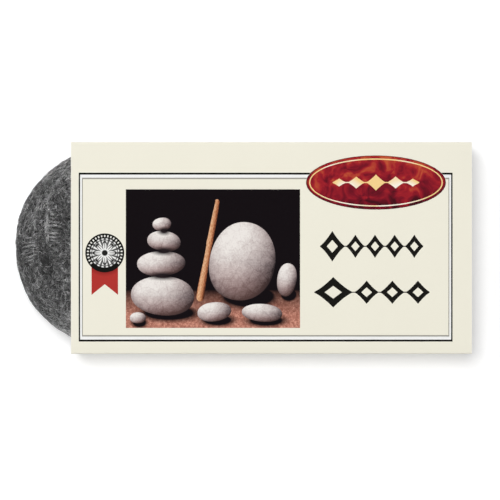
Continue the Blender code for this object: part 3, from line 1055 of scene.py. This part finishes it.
# %% [markdown]
# The ribbon is darker just below the ring, which lies over it. It is drawn up to the ring's edge, with its sides
# upright and a notch in its lower end. The ring and the ribbon are cut out as outlines, and the disc fills the ring.

# %% Ribbon, ring and disc
ribbon_ink, tree, shader = new_material("ribbon_ink")
distance, _ = polar(tree)
under_ring = step_up(tree, distance, 1.22, 1.0) * 0.6
finish_ink(shader, mix_colours(tree, under_ring, (0.440, 0.036, 0.030), (0.160, 0.012, 0.012)), 0.08)
hole = seal_radius - ring_width
ring_loops = [oval(seal_middle, radius, radius) for radius in (seal_radius, hole)]
disc_radius = hole + 0.0001
tuck_radius = seal_radius - 0.0006
notch = 0.0053
ribbon_low, ribbon_high = corners("print_seal_ribbon")
side = math.degrees(math.acos((ribbon_high.x - ribbon_low.x) / 2 / tuck_radius))
ribbon_loop = arc(seal_middle, tuck_radius, -side, -180 + side, 16)
ribbon_loop += [(ribbon_low.x, ribbon_low.y), (seal_middle.x, ribbon_low.y + notch), (ribbon_high.x, ribbon_low.y)]
ink_film("seal_ring", ring_loops, ring_ink, "print_seal_ring", level=1, uv=round_seal)
disc_loop = oval(seal_middle, disc_radius, disc_radius)
ink_film("seal_disc", [disc_loop], disc_ink, "print_seal_disc", uv=round_seal)
ink_film("seal_ribbon", [ribbon_loop], ribbon_ink, "print_seal_ribbon", uv=round_seal)

# %% [markdown]
# ## The wool's body
#
# Seen from above, the wound pad is a stadium: two straight sides and two half-round ends. Its rim is rounded, and on
# both faces a groove shows where one turn of the ribbon lies against the next. The groove winds inwards by one turn's
# width each time round.

# %% Shape of the winding
rim_radius = 0.010
turn_width = 0.0122
outer_turn_width = 0.0103
groove_width = 0.0015
groove_sinks = 0.0008
flat_middle = 0.004
left_middle = wool_low.x + wool_radius
right_middle = wool_high.x - wool_radius
wool_depth = wool_high.z - wool_low.z


def groove_depth(x, y):
    """How far the groove between the turns sinks the face at these places. x and y are arrays."""
    y = y - wool_middle_y
    inset = wool_radius - np.hypot(x - np.clip(x, left_middle, right_middle), y)
    on_left = (np.degrees(np.arctan2(y, x - left_middle)) % 360 - 90) / 180
    on_right = (np.degrees(np.arctan2(y, x - right_middle)) + 90) / 180 + 1
    on_straight = np.where(y < 0, 1.0, 0.0)
    half_turns = np.where(x < left_middle, on_left, np.where(x > right_middle, on_right, on_straight))
    first = outer_turn_width + turn_width / 2 * half_turns
    turns = np.maximum(0, np.round((inset - first) / turn_width))
    away = inset - first - turns * turn_width
    groove = groove_sinks * np.exp(-((away / groove_width) ** 2))
    return np.where(inset > wool_radius - flat_middle, 0.0, groove)


print("the pad's straight sides are", round(1000 * (right_middle - left_middle), 1), "mm long")

# %% [markdown]
# The ribbon is crimped across its length when it is wound, which shows as patches of fine ribs. Over that, the
# surface is lumpy at two sizes: tufts a few millimetres across, and finer ones. The faces have wide, shallow dents,
# and the round end is squeezed a little flat at its tip. The body and the strands on it both sink by this one rule,
# so that they keep together. A kind of lump is three numbers: its depth, its width and the start of its noise.

# %% Lie of the surface
crimped_places = (
    (-0.1215, -0.0010, 0.0085, 0.0090),
    (-0.1085, 0.0105, 0.0055, 0.0100),
    (-0.1040, -0.0330, 0.0060, 0.0070),
)
crimp_pitch = 0.0018
crimp_depth_half = 0.00016
squeeze_half = 0.00022
tuft = (0.00020, 0.0042, 3.1)
fine_tuft = (0.00012, 0.0019, 8.4)
dent = (0.00045, 0.013, 5.2)


def lumps(places, depth, width, start):
    values = [noise.noise(Vector(place) / width + Vector((start, start, start))) for place in places]
    return depth * (1 + np.array(values))


def round_left_end(x, y):
    """The angle round the left end's middle, and the distance from it."""
    x, y = x - left_middle, y - wool_middle_y
    return np.arctan2(y, x), np.hypot(x, y)


def in_patch(x, y, patch, sharpness):
    """1 well inside an oval patch and 0 outside it. patch is its middle, half width and half height."""
    middle_x, middle_y, wide, tall = patch
    away = np.hypot((x - middle_x) / wide, (y - middle_y) / tall)
    return np.clip(sharpness * (1 - away), 0, 1)


def crimp_depth(x, y):
    """Ribs across the ribbon, where it is crimped."""
    angle, distance = round_left_end(x, y)
    ribs = np.cos(2 * math.pi * (np.unwrap(angle) * 0.045 - 0.45 * (wool_radius - distance)) / crimp_pitch)
    amount = np.zeros_like(x)
    for patch in crimped_places:
        amount = np.maximum(amount, in_patch(x, y, patch, 1.3))
    return crimp_depth_half * amount * (1 + ribs)


def sink(places):
    """How far the surface sinks at each place, from an array of places."""
    x, y, z = places[:, 0], places[:, 1], places[:, 2]
    on_face = np.clip((np.abs(z - (wool_low.z + wool_high.z) / 2) - wool_depth / 2 + 0.004) / 0.002, 0, 1)
    tufts = lumps(places, *tuft) + lumps(places, *fine_tuft)
    angle, distance = round_left_end(x, y)
    near_rim = np.clip(8 * (distance / wool_radius - 0.85), 0, 1)
    squeeze = squeeze_half * (1 + np.cos(6 * (angle - math.radians(184)))) * near_rim
    on_faces = on_face * (groove_depth(x, y) + lumps(places, *dent))
    return on_faces + crimp_depth(x, y) + tufts + squeeze * (x < left_middle)


print("crimped places", len(crimped_places))

# %% [markdown]
# The body starts as a circle that is pulled apart into the stadium. It is extruded to its depth, has its rim rounded
# by a Bevel modifier, and is remeshed into small even faces that can then be pushed in and out.

# %% Body of the wool
only(None)
bpy.ops.mesh.primitive_circle_add(vertices=120, radius=wool_radius, fill_type="NGON", location=(0, 0, 0))
wool = bpy.context.object
wool.name = wool.data.name = "wool_body"
for vertex in wool.data.vertices:
    vertex.co.x += left_middle if vertex.co.x < 0 else right_middle
    vertex.co.y += wool_middle_y
    vertex.co.z = wool_low.z
edit_all(wool)
bpy.ops.mesh.extrude_region_move(TRANSFORM_OT_translate={"value": (0, 0, wool_depth)})
bpy.ops.mesh.select_all(action="SELECT")
bpy.ops.mesh.normals_make_consistent(inside=False)
bpy.ops.object.mode_set(mode="OBJECT")
soften = wool.modifiers.new("rim", "BEVEL")
soften.width = rim_radius
soften.segments = 8
soften.limit_method = "ANGLE"
soften.angle_limit = math.radians(60)
even = wool.modifiers.new("even_faces", "REMESH")
even.mode = "VOXEL"
even.voxel_size = 0.0017
apply_modifiers(wool)
print("wool body", triangles(wool), "triangles")

# %% [markdown]
# Each vertex is moved in along its normal. Displacing in code keeps the one rule for the body and the strands, where
# a Displace modifier would need a texture of its own. Under the front panel the wool then swells with the card.


# %% Push the body in and out
def read_vectors(vectors, name):
    """An array with one row for each vector."""
    flat = np.zeros(len(vectors) * 3)
    vectors.foreach_get(name, flat)
    return flat.reshape(-1, 3)


def follow_panel(places):
    """Under the front panel the wool swells with it."""
    lift = np.array([panel_rise(max(x, sleeve_low.x), y) for x, y, _ in places])
    places[:, 2] += 0.8 * lift * np.clip((places[:, 2] - wool_high.z + 0.006) / 0.004, 0, 1)


places = read_vectors(wool.data.vertices, "co")
places -= read_vectors(wool.data.vertex_normals, "vector") * sink(places)[:, None]
follow_panel(places)
wool.data.vertices.foreach_set("co", places.ravel())
wool.data.update()
only(wool)
bpy.ops.object.shade_smooth()
print("wool top at", round(1000 * places[:, 2].max(), 2), "mm")

# %% [markdown]
# ## Steel
#
# Steel wool is bright steel, but it looks dark: each fibre is finer than a hair, and most of the light goes in
# between the fibres and is lost. That lost light is painted: the steels' dark colours are painted shade, and the pale
# specks that a group mixes into them, from noise of two sizes, are painted glints. The body and every strand use the
# group with values of their own.

# %% Steel
steel_tangle, (dark, light), out = new_group(
    "Steel Tangle",
    [("Dark", "Color", (0.02, 0.02, 0.02, 1)), ("Light", "Color", (0.3, 0.3, 0.3, 1))],
    [("Colour", "Color"), ("Height", "Float")],
)
place = object_place(steel_tangle)
tufts = noise_at(steel_tangle, place, 520.0, 2.0)
specks = noise_at(steel_tangle, place, 2300.0, 2.0, Distortion=1.5)
# Pale specks among the dark: painted glints on painted shade.
share = ((specks + tufts * 0.3 - 0.65) * 7.0 + 0.5).clamped()
fill(out, {"Colour": mix_colours(steel_tangle, share, dark, light), "Height": share})


def steel(name, dark, light, roughness, metallic, bump_strength=0.0):
    material, tree, shader = new_material(name)
    tangle = place_group(tree, steel_tangle, {"Dark": (dark, dark, dark), "Light": (light, light, light)})
    fill(shader, {"Base Color": tangle["Colour"], "Metallic": metallic, "Roughness": roughness})
    if bump_strength:
        bump(shader, tangle["Height"], bump_strength, 0.0004)
    return material


# The body stands for the depths of the tangle, and its dark steel is painted shade.
wool_core = steel("wool_core", 0.024, 0.090, 0.6, 0.4, bump_strength=0.8)
# One steel in four tones, from painted shade to a painted glint.
strand_steels = [
    steel("steel_dark", 0.016, 0.105, 0.50, 0.85),
    steel("steel_mid", 0.056, 0.275, 0.45, 0.85),
    steel("steel_light", 0.14, 0.51, 0.40, 0.85),
    steel("steel_painted_glint", 0.38, 0.90, 0.32, 0.85),
]
wool.data.materials.clear()
wool.data.materials.append(wool_core)
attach(wool, "root")
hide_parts("steel_wool_pad")
print("steel materials", len(strand_steels) + 1)

# %% [markdown]
# ## Strands
#
# The look of the wool comes from its strands. They lie in locks of three, mostly along the ribbon, and curl in and
# out of the surface. Each strand is a line of five points in one curve object. The curve's bevel sweeps a
# triangle along all of them, so a strand has only 26 faces, and converting the curve makes the mesh.
#
# A strand's path is walked over the wool's own surface. Two numbers say where it is: the angle round the pad's round
# end, and the distance over the rim, from the front face, down the side and on to the back.


# %% Places on the round ends
def over_the_rim(angle, walked, rise, middle_x):
    """Places on the round end. walked is 0 where the rim's rounding starts on the front, rise the height above."""
    quarter = math.pi / 2 * rim_radius
    straight = wool_depth - 2 * rim_radius
    bend = np.clip(walked, 0, quarter) / rim_radius
    second = np.clip(walked - quarter - straight, 0, quarter) / rim_radius
    side = np.clip(walked - quarter, 0, straight)
    back = np.maximum(walked - 2 * quarter - straight, 0)
    radius = wool_radius - rim_radius * (1 - np.sin(bend)) + np.minimum(walked, 0)
    radius = radius - rim_radius * (1 - np.cos(second)) - back
    z = wool_high.z - rim_radius * (1 - np.cos(bend)) - side - rim_radius * np.sin(second)
    radius = radius + rise * np.sin(bend + second)
    z = z + rise * np.cos(bend + second)
    return np.stack([middle_x + radius * np.cos(angle), wool_middle_y + radius * np.sin(angle), z], axis=-1)


def on_surface(x, y):
    """The angle and the distance over the rim of a place on the left end's front face or rim."""
    angle, distance = round_left_end(x, y)
    out = distance - (wool_radius - rim_radius)
    walked = np.where(out > 0, rim_radius * np.arcsin(np.clip(out / rim_radius, 0, 1)), out)
    return angle % (2 * math.pi), walked


round_the_rim = math.pi * rim_radius + wool_depth - 2 * rim_radius
print("from face to face it is", round(1000 * round_the_rim, 1), "mm over the rim")

# %% [markdown]
# All strands of a batch are walked at once, one step at a time, as arrays. The strands of a lock share most of what
# they do and differ a little, and one strand in fifty is a stray, whose far end stands up off the wool.

# %% Walk the locks
strand_points = 5
strands_in_lock = 3


def walk_locks(rng, angle, walked, heading, length, tone, middle_x, loose=1.0, raised=0.0):
    """Locks of strands, one for each start and heading: their points, the width along them and each one's tone."""
    locks = len(angle)

    def spread(values, amount):
        return np.repeat(values, strands_in_lock) + rng.normal(0, amount, locks * strands_in_lock)

    heading = spread(heading, 0.12 * loose)
    side_step = spread(np.zeros(locks), 0.00022 * loose)
    walked = spread(walked, 0) + side_step * np.cos(heading)
    angle = spread(angle, 0.006 * loose) - side_step * np.sin(heading) / wool_radius
    length = spread(length, 0.0005)
    curl = spread(rng.normal(0, 160 * loose, locks), 40 * loose)
    height = spread(rng.uniform(-0.00006, 0.00022, locks), 0.00004) + raised
    wave = rng.uniform(0, 2 * math.pi, len(angle))
    stray = rng.uniform(0.0003, 0.0009, len(angle)) * (rng.random(len(angle)) < 0.02)
    step = length / (strand_points - 1)
    points = np.zeros((len(angle), strand_points, 3))
    widths = np.zeros((len(angle), strand_points))
    tone = spread(tone, 0.76)
    for i in range(strand_points):
        share = i / (strand_points - 1)
        lift = height + 0.00010 * np.sin(wave + 5 * share) - 0.00022 * abs(2 * share - 1) ** 3 + stray * share**2
        lift -= sink(over_the_rim(angle, walked, 0.0, middle_x))
        points[:, i] = over_the_rim(angle, walked, lift, middle_x)
        widths[:, i] = 1 - 0.6 * abs(2 * share - 1) ** 2
        here = heading + curl * step * i + 0.3 * loose * np.sin(wave * 2 + 4 * share)
        angle = angle + np.cos(here) * step / wool_radius
        walked = walked + np.sin(here) * step
    return points, widths, tone


print("a lock has", strands_in_lock, "strands of", strand_points, "points")

# %% [markdown]
# Most locks start anywhere in a range. Some parts of the winding can be told apart by eye all the same: a dark hollow
# lies near the middle of the round end, and paler places lie round it. The dark in the hollow and in the gaps under
# the crimped ribs is painted shade, and the paler top of the rim, towards the light, is painted light: the strands
# there take darker or paler steels. Each row here is a place, its size and how much paler it is.

# %% Scattered locks
tone_places = (
    (-0.1121, -0.0078, 0.0034, 0.0115, -1.7),
    (-0.1030, 0.0150, 0.0035, 0.0130, -0.9),
    (-0.1090, -0.0270, 0.0060, 0.0050, -0.4),
    (-0.1050, -0.0400, 0.0120, 0.0120, 0.5),
    (-0.1276, 0.0005, 0.0012, 0.0070, -1.2),
    (-0.1120, 0.0380, 0.0120, 0.0050, 0.4),
    (-0.1015, 0.0400, 0.0060, 0.0100, 0.7),
    (-0.1080, 0.0020, 0.0090, 0.0220, -0.3),
    (-0.1205, -0.0010, 0.0075, 0.0090, -0.9),
    (-0.1086, 0.0100, 0.0045, 0.0095, -0.9),
)


def scatter_strands(count, seed, angles, walks, middle_x, length=(0.0028, 0.0052), wander=0.6):
    """Locks that start anywhere in a range of angles and distances and head mostly along the ribbon."""
    rng = np.random.default_rng(seed)
    locks = count // strands_in_lock
    angle, walked = rng.uniform(*angles, locks), rng.uniform(*walks, locks)
    tone = rng.normal(0.12, 0.66, locks)
    x, y, z = over_the_rim(angle, walked, 0.0, middle_x).T
    # Painted shade and light: each place shifts the tone of the strands on the front face.
    for *patch, shift in tone_places:
        tone = tone + shift * in_patch(x, y, patch, 1.4) * (z > wool_depth / 2)
    heading, length = rng.normal(0, wander, locks), rng.uniform(*length, locks)
    return walk_locks(rng, angle, walked, heading, length, tone, middle_x)


print("places with a tone of their own", len(tone_places))

# %% [markdown]
# A pale edge of the ribbon runs above the hollow, and in the crimped places short locks lie side by side across the
# ribbon, like ribs. Both stand a little above the rest, and their paleness is painted highlight where they catch the
# light.


# %% Ribs and edges
def rib_strands(seed, place, slope, locks_in_rib=10, pitch=0.0019):
    """Pale locks side by side across the ribbon. slope is how far they rise towards the middle."""
    middle_x, middle_y, wide, tall = place
    rng = np.random.default_rng(seed)
    rise = np.arange(-tall, tall, pitch)
    half = wide * np.sqrt(1 - (rise / tall) ** 2)
    rise = rise + rng.normal(0, 0.00015, len(rise))
    # Each rib's tone is pale, as a painted highlight on its crest.
    shade = np.repeat(rng.normal(0.8, 0.3, len(rise)), locks_in_rib)
    rise, half = np.repeat(rise, locks_in_rib), np.repeat(half, locks_in_rib)
    start_x = middle_x + rng.uniform(-1.0, 0.1, len(rise)) * half
    start_y = middle_y + rise + slope * (start_x - middle_x) + rng.normal(0, 0.00016, len(rise))
    angle, walked = on_surface(start_x, start_y)
    heading = -math.pi / 2 - slope + rng.normal(0, 0.10, len(rise))
    length = np.minimum(half, 0.0042) * rng.uniform(0.7, 1.1, len(rise))
    return walk_locks(rng, angle, walked, heading, length, shade, left_middle, 0.5, 0.00018)


def edge_strands(seed, start, end, bow, locks, tone=1.4):
    """Pale locks one after the other along a line from start to end, which bows out to the left."""
    rng = np.random.default_rng(seed)
    share = rng.uniform(0, 1, locks)
    (x0, y0), (x1, y1) = start, end
    x = x0 + (x1 - x0) * share - bow * 4 * share * (1 - share) + rng.normal(0, 0.00018, locks)
    y = y0 + (y1 - y0) * share
    angle, walked = on_surface(x, y)
    heading = rng.normal(0, 0.12, locks)
    # The edge's tone is pale, as a painted highlight on the ribbon's edge.
    length, tone = rng.uniform(0.003, 0.005, locks), rng.normal(tone, 0.4, locks)
    return walk_locks(rng, angle, walked, heading, length, tone, left_middle, 0.6, 0.00015)


# %% [markdown]
# A strand is left out where it would show through the card, and where it lies deep inside the sleeve's left mouth.

# %% Keep the strands off the card
clearance = 0.00015
side_clearance = 0.00055
off_floor = 0.0004
seen_inside = 0.005


def clear_of_card(points):
    """Which strands lie in the open, or wholly inside the sleeve where a mouth shows them."""
    x, y, z = points[..., 0], points[..., 1], points[..., 2]
    covered = x > sleeve_low.x - 2 * clearance
    rise = np.array([panel_rise(a, b) for a, b in zip(x.ravel(), y.ravel())]).reshape(x.shape)
    under = z < sleeve_depth - card_thickness + rise - clearance
    over = z > 2 * card_thickness + clearance
    between = np.abs(y) < sleeve_height / 2 - card_thickness - side_clearance
    deep = (x > sleeve_low.x + seen_inside).all(axis=1) & (x < 0).all(axis=1)
    return (~covered | (under & over & between)).all(axis=1) & (z > off_floor).all(axis=1) & ~deep


# %% [markdown]
# The strands that are kept are swept into one mesh, by a triangle that the curve takes as its bevel. A strand's tone
# picks one of the four steels, which run from painted shade to a painted glint.

# %% Sweep the strands
tone_steps = (-0.7, 0.5, 1.3)


def triangle_profile(name, thickness):
    profile = bpy.data.curves.new(name + "_profile", "CURVE")
    corner = profile.splines.new("POLY")
    corner.points.add(2)
    for point, turn in zip(corner.points, (90, 210, 330)):
        point.co = (thickness * math.cos(math.radians(turn)), thickness * math.sin(math.radians(turn)), 0, 1)
    corner.use_cyclic_u = True
    return put_in_scene(name + "_profile", profile)


def strand_piece(name, walks, thickness):
    """One mesh of strands, from a list of walks."""
    curve = bpy.data.curves.new(name, "CURVE")
    curve.dimensions = "3D"
    curve.bevel_mode = "OBJECT"
    curve.bevel_object = triangle_profile(name, thickness)
    curve.use_fill_caps = True
    for material in strand_steels:
        curve.materials.append(material)
    points, widths, tones = (np.concatenate(part) for part in zip(*walks))
    flat = points.reshape(-1, 3)
    follow_panel(flat)
    points = flat.reshape(points.shape)
    kept = clear_of_card(points)
    for path, width, tone in zip(points[kept], widths[kept], tones[kept]):
        spline = curve.splines.new("POLY")
        spline.points.add(strand_points - 1)
        spline.points.foreach_set("co", np.concatenate([path, np.ones((strand_points, 1))], axis=1).ravel())
        spline.points.foreach_set("radius", width)
        spline.material_index = int(np.searchsorted(tone_steps, tone))
    profile_object = curve.bevel_object
    piece = to_mesh(name, curve)
    bpy.data.objects.remove(profile_object, do_unlink=True)
    bpy.ops.object.shade_smooth()
    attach(piece, "root")
    print(name, int(kept.sum()), "strands", triangles(piece), "triangles")


# %% [markdown]
# The left end has four pieces, so that none grows too large. Each has strands on the front, down the side and on the
# back. One also has the ribs, and one the pale edges. The right end, seen only through the sleeve's mouth, has one.

# %% Strands at both ends
left_arc = (math.radians(112), math.radians(248))
side = (0.012, round_the_rim - 0.006)
back = (round_the_rim - 0.008, round_the_rim + 0.020)
for number in range(4):
    walks = [
        scatter_strands(3950, 10 + number, left_arc, (-0.022, 0.013), left_middle),
        scatter_strands(2950, 20 + number, left_arc, side, left_middle, (0.006, 0.012), 0.22),
        scatter_strands(720, 30 + number, left_arc, back, left_middle, (0.006, 0.010), 0.3),
    ]
    if number == 0:
        walks.append(rib_strands(51, (-0.1205, -0.0010, 0.0058, 0.0072), 0.22))
        walks.append(rib_strands(52, (-0.1086, 0.0100, 0.0036, 0.0080), 0.05))
    if number == 1:
        walks.append(edge_strands(53, (-0.1100, 0.0275), (-0.1115, 0.0055), 0.0008, 60))
        walks.append(edge_strands(54, (-0.1165, 0.0240), (-0.1180, -0.0200), 0.0016, 40, 0.6))
    strand_piece(f"wool_strands_{number + 1}", walks, 0.000075)

right_arc = (math.radians(-76), math.radians(76))
end = (-0.006, round_the_rim + 0.004)
walks = [scatter_strands(5700, 40, right_arc, end, right_middle, (0.007, 0.013), 0.25)]
strand_piece("wool_strands_5", walks, 0.000078)

# %% [markdown]
# ## Finish

# The visual model must stay about as large as the solids.

# %% Finish
only(None)
